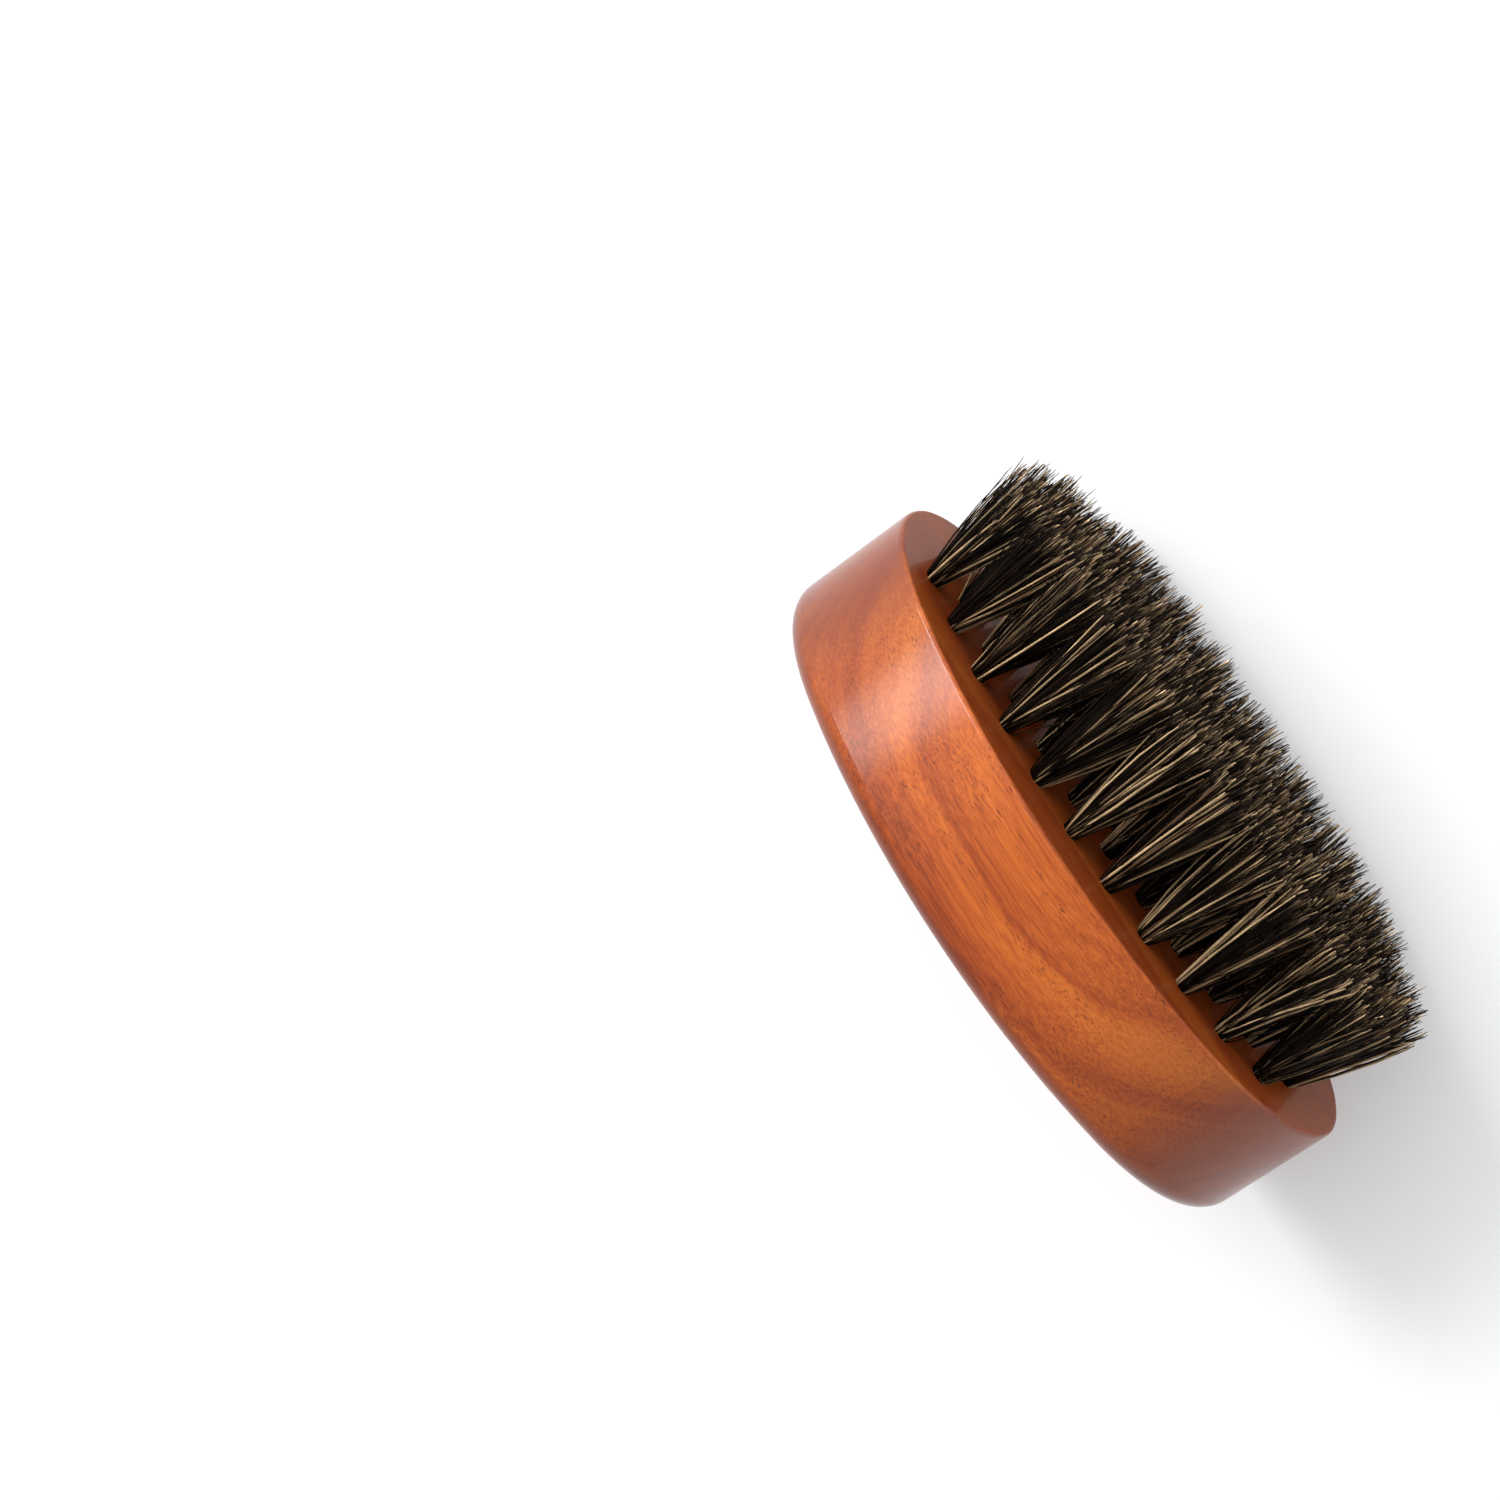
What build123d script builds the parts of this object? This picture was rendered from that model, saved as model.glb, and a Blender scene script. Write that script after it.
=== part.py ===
"""Kidney-shaped palm brush for beards: a hardwood block filled with tufts of boar bristle.

Frame: X runs along the brush, Z up, Y from the back face towards the bristle tips.
The brush stands on the two lobes of its waisted long edge.
The origin is the centre of the bottom of its overall box.
"""

import os
from math import atan2, cos, hypot, sin, sqrt

from build123d import *

# ---------------------------------------------------------------- driving sizes, in mm
block_length = 90.0  # along X
block_height = 52.0  # along Z, from the lobes' lowest points to the top of the crown
block_thickness = 18.5  # along Y, from the back face to the bristle face
lobe_radius = 20.0  # the two lower corners, which are also the feet
crown_swell = 5.0  # how far the middle of the upper edge stands above the arcs of its corners
waist_rise = 3.2  # how far the lower edge rises between the lobes
back_edge_radius = 3.0  # the rounded edge that lies in the palm
bristle_edge_radius = 0.6  # the eased edge around the bristle face

row_counts = [11, 12, 11, 10, 7]  # tufts in each row, from the crown to the waist
first_row_flatness = 1.226  # radius of the first row's arc over that of a line parallel to the crown
crown_margin = 8.8  # from the top of the block to the middle of the first row
waist_margin = 7.0  # from the waist's highest point to the middle of the last row
side_margins = [5.7, 7.7, 7.7, 6.8, 5.7]  # from the block's edge to the last tuft of each row

hole_diameter = 2.3
hole_depth = 7.5
bristle_length = 18.9  # out of the bristle face, at the middle of the brush
trim_radius = 196.0  # the tips are trimmed to this crown along X
splay_start = 1.0  # height over the bristle face where a tuft starts to spread
tip_edge_radius = 0.8  # rounding of a tuft's tip

wire_thickness = 0.35  # the flat wire that anchors a tuft, along X
wire_width = 1.5  # along the depth of the hole
wire_bite = 0.35  # how far each end of the wire is driven into the wood

engraving_depth = 0.3
rosette_z = 24.0  # the rosette and the divider over it are cut into the back face
ring_radius = 11.5
ring_line = 0.7
petal_count = 8
petal_start = 1.7  # from the middle of the rosette
petal_reach = 9.4
petal_width = 3.2
eye_radius = 1.0
divider_z = 42.0
divider_reach = 16.0  # from the middle line to the point of each long spike
divider_start = 2.6
divider_height = 0.9
lozenge_radius = 1.7

tuft_gap = 0.6  # left between the tips of the two nearest tufts
hole_clearance = 0.05  # around a tuft in its hole
wire_clearance = 0.03  # between a tuft and the wire through it
fold_height = 0.5  # bristle between the bottom of the hole and the wire

# ---------------------------------------------------------------- planes and derived sizes
overall_depth = block_thickness + bristle_length
back_y = -overall_depth / 2
face_y = back_y + block_thickness
hole_floor_y = face_y - hole_depth
wire_low_y = hole_floor_y + fold_height
wire_length = hole_diameter + 2 * wire_bite


def plane_at(y):
    """The XZ plane at a height over the back, whose normal points to the bristle tips."""
    return Plane(origin=(0, y, 0), x_dir=(-1, 0, 0), z_dir=(0, 1, 0))


# ---------------------------------------------------------------- outline of the block
# Tangent arcs: a crown, two shoulders, two lobes and a waist. A shoulder and the lobe under it
# have their centres at the same height, so they meet where the block is widest.
lobe_x = block_length / 2 - lobe_radius
shoulder_rise = block_height - lobe_radius
shoulder_radius = shoulder_rise - crown_swell
shoulder_x = block_length / 2 - shoulder_radius
crown_radius = (shoulder_x**2 + shoulder_rise**2 - shoulder_radius**2) / (2 * crown_swell)
waist_radius = (lobe_x**2 + (lobe_radius - waist_rise) ** 2 - lobe_radius**2) / (2 * waist_rise)
crown_center = (0, block_height - crown_radius)
waist_center = (0, waist_rise - waist_radius)

crown_reach = crown_radius / (crown_radius - shoulder_radius)
crown_end = (
    crown_reach * shoulder_x,
    crown_center[1] + crown_reach * (lobe_radius - crown_center[1]),
)
waist_reach = waist_radius / (waist_radius + lobe_radius)
waist_end = (
    waist_reach * lobe_x,
    waist_center[1] + waist_reach * (lobe_radius - waist_center[1]),
)
shoulder_middle = atan2(crown_end[1] - lobe_radius, crown_end[0] - shoulder_x) / 2
shoulder_point = (
    shoulder_x + shoulder_radius * cos(shoulder_middle),
    lobe_radius + shoulder_radius * sin(shoulder_middle),
)
lobe_middle = atan2(waist_end[1] - lobe_radius, waist_end[0] - lobe_x) / 2
lobe_point = (
    lobe_x + lobe_radius * cos(lobe_middle),
    lobe_radius + lobe_radius * sin(lobe_middle),
)
side_point = (block_length / 2, lobe_radius)


def mirrored(point):
    """The same point on the other side of the brush."""
    return (-point[0], point[1])


# ---------------------------------------------------------------- where the tufts stand


def row_end(row_center_z, row_radius, side_margin):
    """Where a row's arc, centred on the middle line, comes within its side margin of the edge."""
    widest = hypot(block_length / 2 - side_margin, lobe_radius - row_center_z)
    if row_radius > widest:
        corner_x, inner_radius = shoulder_x, shoulder_radius - side_margin
    else:
        corner_x, inner_radius = lobe_x, lobe_radius - side_margin
    reach = hypot(corner_x, lobe_radius - row_center_z)
    along_x = corner_x / reach
    along_z = (lobe_radius - row_center_z) / reach
    forward = (row_radius**2 - inner_radius**2 + reach**2) / (2 * reach)
    sideways = sqrt(row_radius**2 - forward**2)
    return (
        forward * along_x + sideways * along_z,
        row_center_z + forward * along_z - sideways * along_x,
    )


def row_places(row):
    """The (x, z) places of one row, evenly spaced along its arc.

    The rows turn gradually from the line of the crown to the line of the waist.
    """
    share = row / (len(row_counts) - 1)
    first_middle = block_height - crown_margin
    last_middle = waist_rise + waist_margin
    first_radius = (crown_radius - crown_margin) * first_row_flatness
    last_radius = waist_radius + waist_margin
    radius = first_radius + share * (last_radius - first_radius)
    center_z = first_middle + share * (last_middle - first_middle) - radius
    end_x, end_z = row_end(center_z, radius, side_margins[row])
    end_angle = atan2(end_x, end_z - center_z)
    gaps = row_counts[row] - 1
    angles = [end_angle * (2 * step / gaps - 1) for step in range(gaps + 1)]
    return [(radius * sin(angle), center_z + radius * cos(angle)) for angle in angles]


tuft_rows = [row_places(row) for row in range(len(row_counts))]
tuft_places = [place for row in tuft_rows for place in row]
nearest = min(
    hypot(one[0] - other[0], one[1] - other[1])
    for number, one in enumerate(tuft_places)
    for other in tuft_places[:number]
)
print("tufts", len(tuft_places), "nearest two, centre to centre, mm", round(nearest, 2))


def on_plane(places):
    """Local positions on plane_at for (x, z) places: its x axis points along -X."""
    return [(-x, z) for x, z in places]


# ---------------------------------------------------------------- engraving
# A plain eight-petal rosette in a ring, with a spiked divider line over it.
with BuildSketch() as petal:
    petal_middle = (petal_start + petal_reach) / 2
    with BuildLine():
        ThreePointArc((petal_start, 0), (petal_middle, petal_width / 2), (petal_reach, 0))
        ThreePointArc((petal_reach, 0), (petal_middle, -petal_width / 2), (petal_start, 0))
    make_face()

with BuildSketch() as spike:
    with BuildLine():
        Polyline(
            (divider_start, divider_height / 2),
            (divider_reach, 0),
            (divider_start, -divider_height / 2),
            close=True,
        )
    make_face()

# ---------------------------------------------------------------- handle body
# One block of hardwood, with a blind hole for each tuft and a bite for each anchor wire.
with BuildPart() as handle_body:
    with BuildSketch(plane_at(back_y)):
        with BuildLine():
            ThreePointArc(mirrored(crown_end), (0, block_height), crown_end)
            ThreePointArc(crown_end, shoulder_point, side_point)
            ThreePointArc(side_point, lobe_point, waist_end)
            ThreePointArc(waist_end, (0, waist_rise), mirrored(waist_end))
            ThreePointArc(mirrored(waist_end), mirrored(lobe_point), mirrored(side_point))
            ThreePointArc(mirrored(side_point), mirrored(shoulder_point), mirrored(crown_end))
        make_face()
    extrude(amount=block_thickness)
    fillet(handle_body.faces().sort_by(Axis.Y)[0].edges(), back_edge_radius)
    fillet(handle_body.faces().sort_by(Axis.Y)[-1].edges(), bristle_edge_radius)
    with BuildSketch(plane_at(back_y)):
        with Locations((0, rosette_z)):
            Circle(ring_radius)
            Circle(ring_radius - ring_line, mode=Mode.SUBTRACT)
            Circle(eye_radius)
            with PolarLocations(0, petal_count):
                add(petal.sketch)
        with Locations((0, divider_z)):
            RegularPolygon(lozenge_radius, 4)
            with PolarLocations(0, 2):
                add(spike.sketch)
    extrude(amount=engraving_depth, mode=Mode.SUBTRACT)
    with BuildSketch(plane_at(hole_floor_y)):
        with Locations(*on_plane(tuft_places)):
            Circle(hole_diameter / 2)
    extrude(amount=hole_depth, mode=Mode.SUBTRACT)
    with BuildSketch(plane_at(wire_low_y)):
        with Locations(*on_plane(tuft_places)):
            Rectangle(wire_thickness, wire_length)
    extrude(amount=wire_width, mode=Mode.SUBTRACT)

handle_body.part.label = "handle_body"

# ---------------------------------------------------------------- anchors
# A short flat wire, on edge, lies across the bottom of each hole and grips the wood.
with BuildPart() as tuft_anchors:
    with BuildSketch(plane_at(wire_low_y)):
        with Locations(*on_plane(tuft_places)):
            Rectangle(wire_thickness, wire_length)
    extrude(amount=wire_width)

tuft_anchors.part.label = "tuft_anchors"

# ---------------------------------------------------------------- tufts
root_radius = hole_diameter / 2 - hole_clearance
tip_radius = (nearest - tuft_gap) / 2


def tip_height(x):
    """How far the bristles at x stand out of the bristle face, under the crowned trim."""
    return bristle_length - (trim_radius - sqrt(trim_radius**2 - x**2))


def make_tuft(place, name):
    """One bundle of bristles, folded over its anchor: straight in its hole, then spreading."""
    x, z = place
    tip_y = face_y + tip_height(x)
    spread_y = face_y + splay_start
    half_profile = [(0, hole_floor_y), (root_radius, hole_floor_y), (root_radius, spread_y)]
    half_profile += [(tip_radius, tip_y), (0, tip_y)]
    with BuildPart() as tuft:
        with BuildSketch(Plane((x, 0, z))):
            with BuildLine():
                Polyline(*half_profile, close=True)
            make_face()
        revolve(axis=Axis((x, 0, z), (0, 1, 0)))
        fillet(tuft.edges().sort_by(Axis.Y)[-1], tip_edge_radius)
        with BuildSketch(plane_at(wire_low_y - wire_clearance)):
            with Locations(*on_plane([place])):
                Rectangle(wire_thickness + 2 * wire_clearance, hole_diameter)
        extrude(amount=wire_width + 2 * wire_clearance, mode=Mode.SUBTRACT)
    tuft.part.label = name
    return tuft.part


# ---------------------------------------------------------------- files
os.makedirs("parts", exist_ok=True)
export_step(handle_body.part, "parts/handle_body.step")
export_step(tuft_anchors.part, "parts/tuft_anchors.step")
for row_number, row in enumerate(tuft_rows, start=1):
    for tuft_number, place in enumerate(row, start=1):
        tuft_name = f"tuft_row{row_number}_{tuft_number:02d}"
        export_step(make_tuft(place, tuft_name), f"parts/{tuft_name}.step")
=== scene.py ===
"""The looks of the beard brush: lacquered wood, engraved back and boar bristles.

Metres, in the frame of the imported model: X along the brush, Y from the back face to the
bristle tips, Z up. Sizes that are easier to read in millimetres are written as n * MM.
"""

import math

import bpy
import numpy as np
from mathutils import Matrix, Vector


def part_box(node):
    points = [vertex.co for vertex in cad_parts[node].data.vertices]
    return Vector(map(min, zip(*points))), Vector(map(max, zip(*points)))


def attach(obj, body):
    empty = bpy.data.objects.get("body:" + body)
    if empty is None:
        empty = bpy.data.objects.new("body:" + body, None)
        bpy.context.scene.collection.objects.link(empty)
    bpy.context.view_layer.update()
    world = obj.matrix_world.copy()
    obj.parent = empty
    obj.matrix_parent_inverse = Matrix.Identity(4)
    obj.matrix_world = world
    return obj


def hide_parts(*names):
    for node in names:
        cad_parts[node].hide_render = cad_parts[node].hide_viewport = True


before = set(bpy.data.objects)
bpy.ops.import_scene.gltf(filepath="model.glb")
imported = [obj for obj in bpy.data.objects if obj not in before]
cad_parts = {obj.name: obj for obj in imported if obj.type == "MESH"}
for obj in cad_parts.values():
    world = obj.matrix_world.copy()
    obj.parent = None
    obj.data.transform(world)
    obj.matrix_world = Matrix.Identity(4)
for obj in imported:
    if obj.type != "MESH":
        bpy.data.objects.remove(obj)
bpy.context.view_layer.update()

MM = 0.001
PER_MM = 1000.0  # turns metres into millimetres inside the materials

block_low, block_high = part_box("handle_body")
back_y = block_low.y
face_y = block_high.y
tuft_names = sorted(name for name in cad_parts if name.startswith("tuft_row"))


# ---------------------------------------------------------------- camera
camera_place = Vector((0.0363, 0.1205, 0.4572))
camera_target = Vector((-0.0322, -0.0337, 0.0260))
camera_up = Vector((-0.8323, 0.5505, -0.0650))
lens_mm = 90.24
sensor_mm = 36.0


def make_camera():
    """Looks down on the crown of the brush, with the bristles towards the upper right."""
    data = bpy.data.cameras.new("camera")
    data.lens = lens_mm
    data.sensor_width = sensor_mm
    data.clip_start = 0.005
    camera = bpy.data.objects.new("camera", data)
    bpy.context.scene.collection.objects.link(camera)
    backward = (camera_place - camera_target).normalized()
    right = camera_up.cross(backward).normalized()
    up = backward.cross(right)
    turn = Matrix((right, up, backward)).transposed().to_4x4()
    camera.matrix_world = Matrix.Translation(camera_place) @ turn
    bpy.context.scene.camera = camera


# ---------------------------------------------------------------- node helpers
class Nodes:
    """The node tree of a material or a world, with short calls for the nodes used here."""

    def __init__(self, owner):
        self.owner = owner
        owner.use_nodes = True
        self.tree = owner.node_tree
        self.surface = self.tree.nodes.get("Principled BSDF")

    def node(self, kind, **settings):
        made = self.tree.nodes.new(kind)
        for key, value in settings.items():
            setattr(made, key, value)
        return made

    def feed(self, socket, value):
        """Links an output to a socket, or sets a plain value on it."""
        if isinstance(value, bpy.types.NodeSocket):
            self.tree.links.new(value, socket)
        else:
            socket.default_value = value

    def maths(self, operation, first, second=0.0):
        made = self.node("ShaderNodeMath", operation=operation)
        self.feed(made.inputs[0], first)
        self.feed(made.inputs[1], second)
        return made.outputs[0]

    def vector_maths(self, operation, first, second):
        made = self.node("ShaderNodeVectorMath", operation=operation)
        self.feed(made.inputs[0], first)
        self.feed(made.inputs[1], second)
        return made.outputs[0]

    def noise(self, place, stretch, detail=3.0, roughness=0.5):
        """Noise of about one feature per millimetre over each of stretch's three numbers."""
        made = self.node("ShaderNodeTexNoise")
        self.feed(made.inputs["Vector"], self.vector_maths("MULTIPLY", place, stretch))
        made.inputs["Scale"].default_value = 1.0
        made.inputs["Detail"].default_value = detail
        made.inputs["Roughness"].default_value = roughness
        return made.outputs["Fac"]

    def fade(self, value, low, high, to_low=0.0, to_high=1.0):
        """A smooth step from to_low, below low, to to_high, above high."""
        made = self.node("ShaderNodeMapRange", interpolation_type="SMOOTHSTEP")
        self.feed(made.inputs["Value"], value)
        made.inputs["From Min"].default_value = low
        made.inputs["From Max"].default_value = high
        made.inputs["To Min"].default_value = to_low
        made.inputs["To Max"].default_value = to_high
        return made.outputs["Result"]

    def mix(self, share, first, second, blend="MIX"):
        made = self.node("ShaderNodeMix", data_type="RGBA", blend_type=blend)
        self.feed(made.inputs["Factor"], share)
        self.feed(made.inputs[6], first)
        self.feed(made.inputs[7], second)
        return made.outputs[2]

    def ramp(self, value, stops):
        """The colour at value on a ramp of (place, colour) stops."""
        made = self.node("ShaderNodeValToRGB")
        elements = made.color_ramp.elements
        while len(elements) < len(stops):
            elements.new(1.0)
        for element, (place, color) in zip(elements, stops):
            element.position = place
            element.color = color
        self.feed(made.inputs["Fac"], value)
        return made.outputs["Color"]

    def bump(self, height, strength, distance):
        made = self.node("ShaderNodeBump")
        made.inputs["Strength"].default_value = strength
        made.inputs["Distance"].default_value = distance
        self.feed(made.inputs["Height"], height)
        self.feed(self.surface.inputs["Normal"], made.outputs["Normal"])

    def set(self, **values):
        """Plain values on the surface shader's own sockets."""
        for key, value in values.items():
            self.surface.inputs[key.replace("_", " ")].default_value = value


# ---------------------------------------------------------------- wood
wood_tones = [
    # place on the ramp, colour: from the darkest streak to the palest
    (0.08, (0.180, 0.026, 0.005, 1)),
    (0.35, (0.330, 0.059, 0.009, 1)),
    (0.62, (0.480, 0.102, 0.013, 1)),
    (0.92, (0.620, 0.170, 0.022, 1)),
]
wood_pore = (0.070, 0.014, 0.005, 1)
# the stain's colour, also the colour of the painted shade on the back's rounded edge and the
# drilled face
stain_and_shade = (0.120, 0.018, 0.006, 1)
burnt_wood = (0.045, 0.016, 0.008, 1)
pith_y = -70.0  # mm: the middle of the trunk that the block was cut from
pith_z = -30.0
band_sway = 22.0  # mm: how far the growth bands wander
broad_share = 0.28  # what the clouds, the growth bands and the fibres add to the tone
band_share = 0.46
fibre_share = 0.30
pore_strength = 0.72
# painted shade on the rounded edge around the back: how far it is darkened
rim_painted_shade = 0.62
end_grain_stain = 0.76
# painted shade among the tufts: how far the drilled face is darkened
drilled_face_painted_shade = 0.58
lacquer_weight = 0.62
bristle_face_lacquer = 0.16  # the drilled face carries less lacquer than the rest
engraving_reach = 18.0  # mm: the engraving lies within this distance of the middle line
engraving_low = 10.0  # mm: and between these heights
engraving_high = 45.0
edge_fade = 0.5  # mm: over which the burnt colour ends outside the engraving
burn_strength = 0.92


def make_wood():
    """Lacquered reddish hardwood with its grain along X."""
    wood = Nodes(bpy.data.materials.new("varnished_wood"))
    coordinates = wood.node("ShaderNodeTexCoord")
    place = wood.vector_maths("MULTIPLY", coordinates.outputs["Object"], (PER_MM,) * 3)
    apart = wood.node("ShaderNodeSeparateXYZ")
    wood.feed(apart.inputs[0], place)
    x, y, z = apart.outputs[0], apart.outputs[1], apart.outputs[2]

    # Growth bands around the pith, a little wavy, of uneven width.
    sway = wood.noise(place, (0.013, 0.045, 0.045), detail=2.0)
    off_y = wood.maths("POWER", wood.maths("SUBTRACT", y, pith_y), 2.0)
    off_z = wood.maths("POWER", wood.maths("SUBTRACT", z, pith_z), 2.0)
    away = wood.maths("SQRT", wood.maths("ADD", off_y, off_z))
    away = wood.maths("ADD", away, wood.maths("MULTIPLY", sway, band_sway))
    banded = wood.node("ShaderNodeCombineXYZ")
    wood.feed(banded.inputs[0], x)
    wood.feed(banded.inputs[1], away)
    bands = wood.noise(banded.outputs[0], (0.004, 0.22, 1.0), detail=5.0, roughness=0.62)

    # Broad clouds and fine fibres, drawn out along X.
    broad = wood.noise(place, (0.014, 0.05, 0.05), detail=1.0)
    fibres = wood.noise(place, (0.04, 3.2, 3.2), detail=4.0, roughness=0.68)
    tone = wood.maths("MULTIPLY", wood.fade(broad, 0.25, 0.75), broad_share)
    banding = wood.maths("MULTIPLY", wood.fade(bands, 0.28, 0.72), band_share)
    tone = wood.maths("ADD", tone, banding)
    streaks = wood.fade(fibres, 0.3, 0.7)
    tone = wood.maths("ADD", tone, wood.maths("MULTIPLY", streaks, fibre_share))
    color = wood.ramp(tone, wood_tones)

    # Pores: short dark lines and specks, thicker in some zones than in others.
    pores = wood.fade(wood.noise(place, (0.30, 5.5, 5.5), detail=1.0), 0.62, 0.70)
    specks = wood.fade(wood.noise(place, (1.1, 7.5, 7.5), detail=1.0), 0.66, 0.74)
    pores = wood.maths("MAXIMUM", pores, specks)
    pore_zone = wood.noise(place, (0.02, 0.35, 0.35), detail=1.0)
    pore_zone = wood.fade(pore_zone, 0.40, 0.62, 0.15, 1.0)
    pores = wood.maths("MULTIPLY", pores, pore_zone)
    color = wood.mix(wood.maths("MULTIPLY", pores, pore_strength), color, wood_pore)

    # Stain gathers in the end grain; painted shade darkens the rounded edge around the back and
    # the drilled face among the tufts.
    geometry = wood.node("ShaderNodeNewGeometry")
    facing = wood.node("ShaderNodeSeparateXYZ")
    wood.feed(facing.inputs[0], geometry.outputs["Normal"])
    backward = wood.maths("MULTIPLY", facing.outputs[1], -1.0)
    # Painted shade: the rounded edge around the back is darkened by which way it faces.
    rim = wood.fade(backward, 0.10, 0.55)
    rim = wood.maths("MULTIPLY", rim, wood.fade(backward, 0.90, 0.995, 1.0, 0.0))
    color = wood.mix(wood.maths("MULTIPLY", rim, rim_painted_shade), color, stain_and_shade)
    endward = wood.maths("ABSOLUTE", facing.outputs[0])
    color = wood.mix(wood.fade(endward, 0.22, 0.80, 0.0, end_grain_stain), color, stain_and_shade)
    # Painted shade: the drilled face among the tufts is darkened.
    drilled = wood.fade(facing.outputs[1], 0.6, 0.95, 0.0, drilled_face_painted_shade)
    color = wood.mix(drilled, color, stain_and_shade)

    # The engraving's floor lies under the back face and is burnt.
    under = wood.maths("SUBTRACT", y, back_y * PER_MM)
    across = wood.maths("ABSOLUTE", x)
    burnt = wood.fade(under, 0.02, 0.12)
    for end in (
        wood.fade(under, 0.5, 0.6, 1.0, 0.0),
        wood.fade(across, engraving_reach, engraving_reach + edge_fade, 1.0, 0.0),
        wood.fade(z, engraving_low, engraving_low + edge_fade),
        wood.fade(z, engraving_high, engraving_high + edge_fade, 1.0, 0.0),
    ):
        burnt = wood.maths("MULTIPLY", burnt, end)
    char = wood.mix(streaks, burnt_wood, stain_and_shade)
    color = wood.mix(wood.maths("MULTIPLY", burnt, burn_strength), color, char)
    wood.feed(wood.surface.inputs["Base Color"], color)

    # Cross-grain marks left by sanding, towards the ends of the back.
    sanding = wood.noise(place, (3.2, 0.5, 0.05), detail=2.0)
    sanded = wood.fade(across, 22.0, 34.0)
    height = wood.maths("MULTIPLY", wood.maths("MULTIPLY", sanding, sanded), 0.35)
    height = wood.maths("ADD", height, wood.maths("MULTIPLY", fibres, 0.4))
    height = wood.maths("SUBTRACT", height, wood.maths("MULTIPLY", pores, 0.9))
    wood.bump(height, 0.25, 0.05 * MM)

    gloss = wood.fade(bands, 0.3, 0.7, 0.36, 0.50)
    gloss = wood.maths("ADD", gloss, wood.maths("MULTIPLY", burnt, 0.3))
    wood.feed(wood.surface.inputs["Roughness"], gloss)
    lacquer = wood.fade(facing.outputs[1], 0.6, 0.95, lacquer_weight, bristle_face_lacquer)
    wood.feed(wood.surface.inputs["Coat Weight"], lacquer)
    wood.set(IOR=1.5, Specular_IOR_Level=0.05, Coat_Roughness=0.08, Coat_IOR=1.5)
    return wood.owner


# ---------------------------------------------------------------- bristles
hairs_per_tuft = 150
hair_sides = 4
hair_steps = np.array([0, 0.12, 0.40, 0.70, 0.93, 1.0])  # shares of a hair's length
hair_taper = np.array([1.0, 1.0, 0.97, 0.88, 0.66, 0.0])  # thickness there, without the end's own
root_depth = 1.2 * MM  # how far a hair starts under the bristle face
root_spread = 0.76 * MM  # radius of the bundle where it leaves its hole
tip_reach = 5.0 * MM  # farthest that a tip stands from the middle of its tuft
tip_overlap = 2.2 * MM  # how far tips stand in between those of the next tuft
root_jitter = 0.34 * MM
stray_share = 0.018
stray_drop = 1.5 * MM  # a stray hair leans out, so its tip lies lower
trim_error = 0.34 * MM  # how unevenly the tips are trimmed
short_share = 0.08  # hairs that end well under the trim
long_share = 0.05  # hairs that the trim missed
straightening = 1.1  # above 1, a hair leans more at its root than at its tip
bow_size = 0.32 * MM
floor_room = 0.3 * MM  # the lowest tips stop this far above the floor
hair_radius = 0.086 * MM
flag_start = 0.93  # the split ends, which look paler, start at this share of the length
hair_mottle = (0.010, 0.006, 0.004, 1)
hair_palette = [
    # share, thickness, colour of the shaft, colour of the split end
    (0.67, 0.96, (0.0036, 0.0022, 0.0014), (0.016, 0.009, 0.005)),
    (0.12, 0.98, (0.0200, 0.0105, 0.0058), (0.060, 0.037, 0.020)),
    (0.09, 1.20, (0.1250, 0.0700, 0.0350), (0.170, 0.108, 0.060)),
    (0.12, 1.80, (0.4600, 0.3150, 0.1700), (0.420, 0.290, 0.165)),
]

tuft_boxes = [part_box(name) for name in tuft_names]
tuft_middles = np.array([((low + high) / 2)[:] for low, high in tuft_boxes])
by_length = np.argsort(tuft_middles[:, 0])
crown_x = tuft_middles[by_length, 0]
crown_y = np.array([high.y for _, high in tuft_boxes])[by_length]


def tip_places(draw, middle, count):
    """(x, z) of the tips, evenly over the ground that is nearer to this tuft than to others."""
    others = tuft_middles[np.linalg.norm(tuft_middles - middle, axis=1) > 1 * MM]
    angle = draw.uniform(0, 2 * math.pi, 12 * count)
    reach = tip_reach * np.sqrt(draw.uniform(0, 1, 12 * count))
    places = middle[[0, 2]] + np.stack([np.cos(angle), np.sin(angle)], axis=1) * reach[:, None]
    to_others = np.linalg.norm(places[:, None, :] - others[None][:, :, [0, 2]], axis=2).min(axis=1)
    near = reach < to_others + draw.uniform(0, tip_overlap, 12 * count)
    return places[near][:count]


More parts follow.
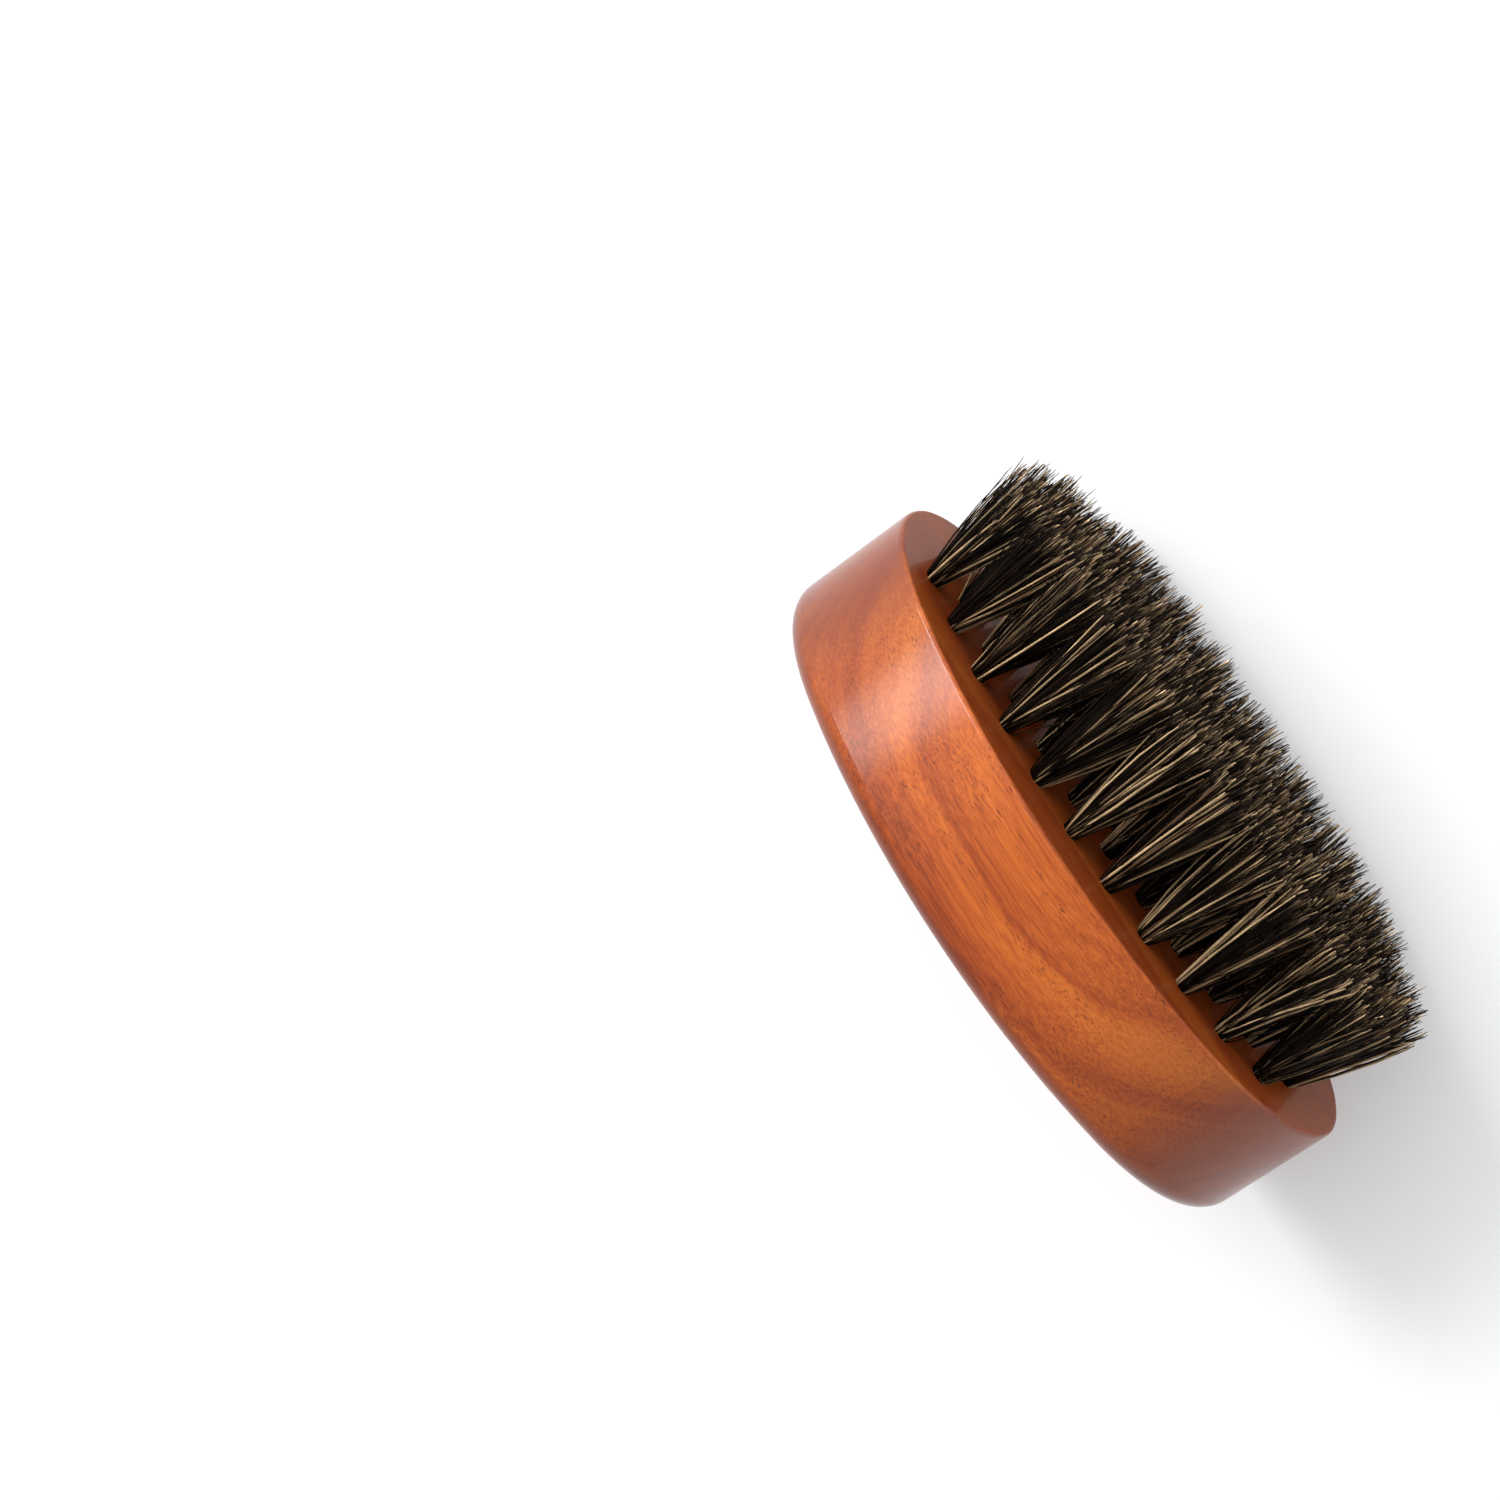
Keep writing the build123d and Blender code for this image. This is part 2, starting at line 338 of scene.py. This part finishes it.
def hair_paths(draw, middle, count):
    """Centre lines of one tuft's hairs, as an array (hair, ring, xyz)."""
    tips = tip_places(draw, middle, count)
    away = tips - middle[[0, 2]]
    stray = draw.uniform(0, 1, count) < stray_share
    away = np.where(stray[:, None], away * draw.uniform(1.4, 2.2, (count, 1)), away)
    roots = away / tip_reach * root_spread + draw.normal(0, root_jitter, (count, 2))
    roots *= np.minimum(1, root_spread / np.linalg.norm(roots, axis=1))[:, None]
    shorter = np.abs(draw.normal(0, trim_error, count))
    is_short = draw.uniform(0, 1, count) < short_share
    shorter = np.where(is_short, draw.uniform(0.8, 3.5, count) * MM, shorter)
    is_long = draw.uniform(0, 1, count) < long_share
    shorter = np.where(is_long, -draw.uniform(0.1, 0.9, count) * MM, shorter)
    tip_x = middle[0] + away[:, 0]
    tip_z = np.maximum(middle[2] + away[:, 1], floor_room)
    tip_y = np.interp(tip_x, crown_x, crown_y) - shorter - np.where(stray, stray_drop, 0.0)
    root_x = middle[0] + roots[:, 0]
    root_y = np.full(count, face_y - root_depth)
    root_z = middle[2] + roots[:, 1]
    root = np.stack([root_x, root_y, root_z], axis=1)
    tip = np.stack([tip_x, tip_y, tip_z], axis=1)
    # A hair leans out of its hole, and its neighbours straighten it towards its tip.
    sideways = 1 - (1 - hair_steps) ** straightening
    shares = np.stack([sideways, hair_steps, sideways], axis=1)
    paths = root[:, None, :] + (tip - root)[:, None, :] * shares[None]
    bow = draw.normal(0, bow_size, (count, 3)) * (1, 0, 1)
    paths += bow[:, None, :] * (4 * hair_steps * (1 - hair_steps))[None, :, None]
    return paths


def tubes(paths, radii):
    """Vertices and faces of one closed tube of hair_sides around each path."""
    count, rings, _ = paths.shape
    forward = np.gradient(paths, axis=1)
    forward /= np.linalg.norm(forward, axis=2, keepdims=True)
    side = np.cross(forward, (0.0, 0.0, 1.0))
    side /= np.linalg.norm(side, axis=2, keepdims=True)
    across = np.cross(forward, side)
    turn = np.arange(hair_sides) * 2 * math.pi / hair_sides
    ring = side[:, :, None, :] * np.cos(turn)[None, None, :, None]
    ring = ring + across[:, :, None, :] * np.sin(turn)[None, None, :, None]
    points = paths[:, :, None, :] + radii[:, :, None, None] * ring
    faces = []
    for hair in range(count):
        first = hair * rings * hair_sides
        for step in range(rings - 1):
            low = first + step * hair_sides
            for corner in range(hair_sides):
                beside = (corner + 1) % hair_sides
                faces.append((
                    low + corner,
                    low + hair_sides + corner,
                    low + hair_sides + beside,
                    low + beside,
                ))
        faces.append(tuple(first + corner for corner in range(hair_sides)))
        last = first + (rings - 1) * hair_sides
        faces.append(tuple(last + corner for corner in reversed(range(hair_sides))))
    return points.reshape(-1, 3), faces


def hair_kinds(draw, count):
    """Thickness, shaft colour and end colour of each hair."""
    limits = np.cumsum([entry[0] for entry in hair_palette])
    kinds = draw.permutation(np.searchsorted(limits[:-1], (np.arange(count) + 0.5) / count))
    thickness, shafts, ends = (np.array(part)[kinds] for part in list(zip(*hair_palette))[1:])
    light = draw.lognormal(0, 0.28, (count, 1))
    return thickness, shafts * light, ends * light * draw.lognormal(0, 0.45, (count, 1))


def make_bristles(name, seed, material):
    """One tuft of loose bristles in place of its plain CAD solid."""
    draw = np.random.default_rng(seed)
    paths = hair_paths(draw, tuft_middles[seed], hairs_per_tuft)
    thickness, shafts, ends = hair_kinds(draw, hairs_per_tuft)
    size = hair_radius * thickness * draw.normal(1.0, 0.10, hairs_per_tuft)
    blunt = draw.uniform(0.22, 0.50, hairs_per_tuft)
    radii = size[:, None] * np.maximum(hair_taper[None], blunt[:, None])
    points, faces = tubes(paths, radii)
    mesh = bpy.data.meshes.new("bristles_" + name[5:])
    mesh.from_pydata(points.tolist(), [], faces)
    mesh.polygons.foreach_set("use_smooth", [len(face) == 4 for face in faces])
    blend = np.clip((hair_steps - flag_start) / (1 - flag_start), 0, 1)[None, :, None]
    shades = shafts[:, None, :] * (1 - blend) + ends[:, None, :] * blend
    shades = np.repeat(shades[:, :, None, :], hair_sides, axis=2).reshape(-1, 3)
    shades = np.concatenate([shades, np.ones((len(shades), 1))], axis=1)
    layer = mesh.color_attributes.new("bristle_color", "FLOAT_COLOR", "POINT")
    layer.data.foreach_set("color", shades.astype(np.float32).ravel())
    mesh.materials.append(material)
    mesh.update()
    piece = bpy.data.objects.new(mesh.name, mesh)
    bpy.context.scene.collection.objects.link(piece)
    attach(piece, "root")
    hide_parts(name)
    return piece


def make_bristle_material():
    """Dark boar bristle with some tan and blond hairs, glossy, with a fine scaly surface."""
    hair = Nodes(bpy.data.materials.new("boar_bristle"))
    shade = hair.node("ShaderNodeVertexColor", layer_name="bristle_color")
    coordinates = hair.node("ShaderNodeTexCoord")
    place = hair.vector_maths("MULTIPLY", coordinates.outputs["Object"], (PER_MM,) * 3)
    mottle = hair.noise(place, (1.1, 0.45, 1.1), detail=2.0)
    darker = hair.fade(mottle, 0.3, 0.7, 0.0, 0.45)
    color = hair.mix(darker, shade.outputs["Color"], hair_mottle)
    hair.feed(hair.surface.inputs["Base Color"], color)
    hair.feed(hair.surface.inputs["Roughness"], hair.fade(mottle, 0.3, 0.7, 0.34, 0.50))
    scales = hair.noise(place, (3.0, 12.0, 3.0), detail=1.0)
    hair.bump(scales, 0.25, 0.01 * MM)
    hair.set(IOR=1.5, Specular_IOR_Level=0.05)
    return hair.owner


wire_groove = (0.42, 0.42, 0.40, 1)
wire_ridge = (0.62, 0.61, 0.58, 1)


def make_wire_material():
    """Drawn steel wire with fine lines along X."""
    wire = Nodes(bpy.data.materials.new("anchor_wire"))
    coordinates = wire.node("ShaderNodeTexCoord")
    place = wire.vector_maths("MULTIPLY", coordinates.outputs["Object"], (PER_MM,) * 3)
    lines = wire.noise(place, (1.0, 14.0, 1.0), detail=2.0)
    color = wire.mix(lines, wire_groove, wire_ridge)
    wire.feed(wire.surface.inputs["Base Color"], color)
    wire.feed(wire.surface.inputs["Roughness"], wire.fade(lines, 0.3, 0.7, 0.25, 0.45))
    wire.bump(lines, 0.2, 0.01 * MM)
    wire.set(Metallic=1.0)
    return wire.owner


# ---------------------------------------------------------------- floor and light
floor_reach = 6.0  # from the middle of the floor to each of its edges


def make_floor():
    """A large pale floor with a painted glow: it emits a little light of its own, which lifts its
    shadows.
    """
    reach = floor_reach
    mesh = bpy.data.meshes.new("floor")
    corners = [(-reach, -reach, 0), (reach, -reach, 0), (reach, reach, 0), (-reach, reach, 0)]
    mesh.from_pydata(corners, [], [(0, 1, 2, 3)])
    floor = bpy.data.objects.new("floor", mesh)
    bpy.context.scene.collection.objects.link(floor)
    paint = Nodes(bpy.data.materials.new("glowing_floor_paint"))
    paint.set(Base_Color=(0.66, 0.66, 0.665, 1), Roughness=0.6, Specular_IOR_Level=0.2)
    # Painted glow: the floor emits light of its own, which lightens the shadows on it.
    paint.set(Emission_Color=(1.0, 1.0, 1.0, 1), Emission_Strength=0.22)
    mesh.materials.append(paint.owner)


surround_strength = 0.64
horizon_strength = 0.30  # added near the horizon
glows = [
    # direction, cosines where the glow starts and is full, radiance
    ((-0.80, 0.32, 0.50), 0.40, 0.95, 1.15),
    ((-0.775, -0.041, 0.632), 0.9400, 0.9900, 11.0),
]


def make_lights():
    """A white surround with a broad glow at the left of the picture and a soft box in it."""
    world = Nodes(bpy.data.worlds.new("surround"))
    bpy.context.scene.world = world.owner
    coordinates = world.node("ShaderNodeTexCoord")
    strength = surround_strength
    for direction, start, full, radiance in glows:
        facing = world.node("ShaderNodeVectorMath", operation="DOT_PRODUCT")
        world.feed(facing.inputs[0], coordinates.outputs["Generated"])
        world.feed(facing.inputs[1], Vector(direction).normalized())
        glow = world.fade(facing.outputs["Value"], start, full, 0.0, radiance)
        strength = world.maths("ADD", glow, strength)
    apart = world.node("ShaderNodeSeparateXYZ")
    world.feed(apart.inputs[0], coordinates.outputs["Generated"])
    horizon = world.fade(apart.outputs[2], 0.16, 0.36, horizon_strength, 0.0)
    strength = world.maths("ADD", horizon, strength)
    background = world.tree.nodes["Background"]
    world.feed(background.inputs["Color"], (0.98, 0.99, 1.0, 1))
    world.feed(background.inputs["Strength"], strength)


def dress_node(name, material):
    """A CAD node keeps its mesh and takes a better material."""
    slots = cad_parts[name].material_slots
    if not slots:
        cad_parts[name].data.materials.append(material)
    for one in slots:
        one.material = material


make_camera()
make_lights()
make_floor()
bpy.context.scene.view_settings.view_transform = "Standard"
dress_node("handle_body", make_wood())
dress_node("tuft_anchors", make_wire_material())
bristle_material = make_bristle_material()
for number, tuft_name in enumerate(tuft_names):
    make_bristles(tuft_name, number, bristle_material)
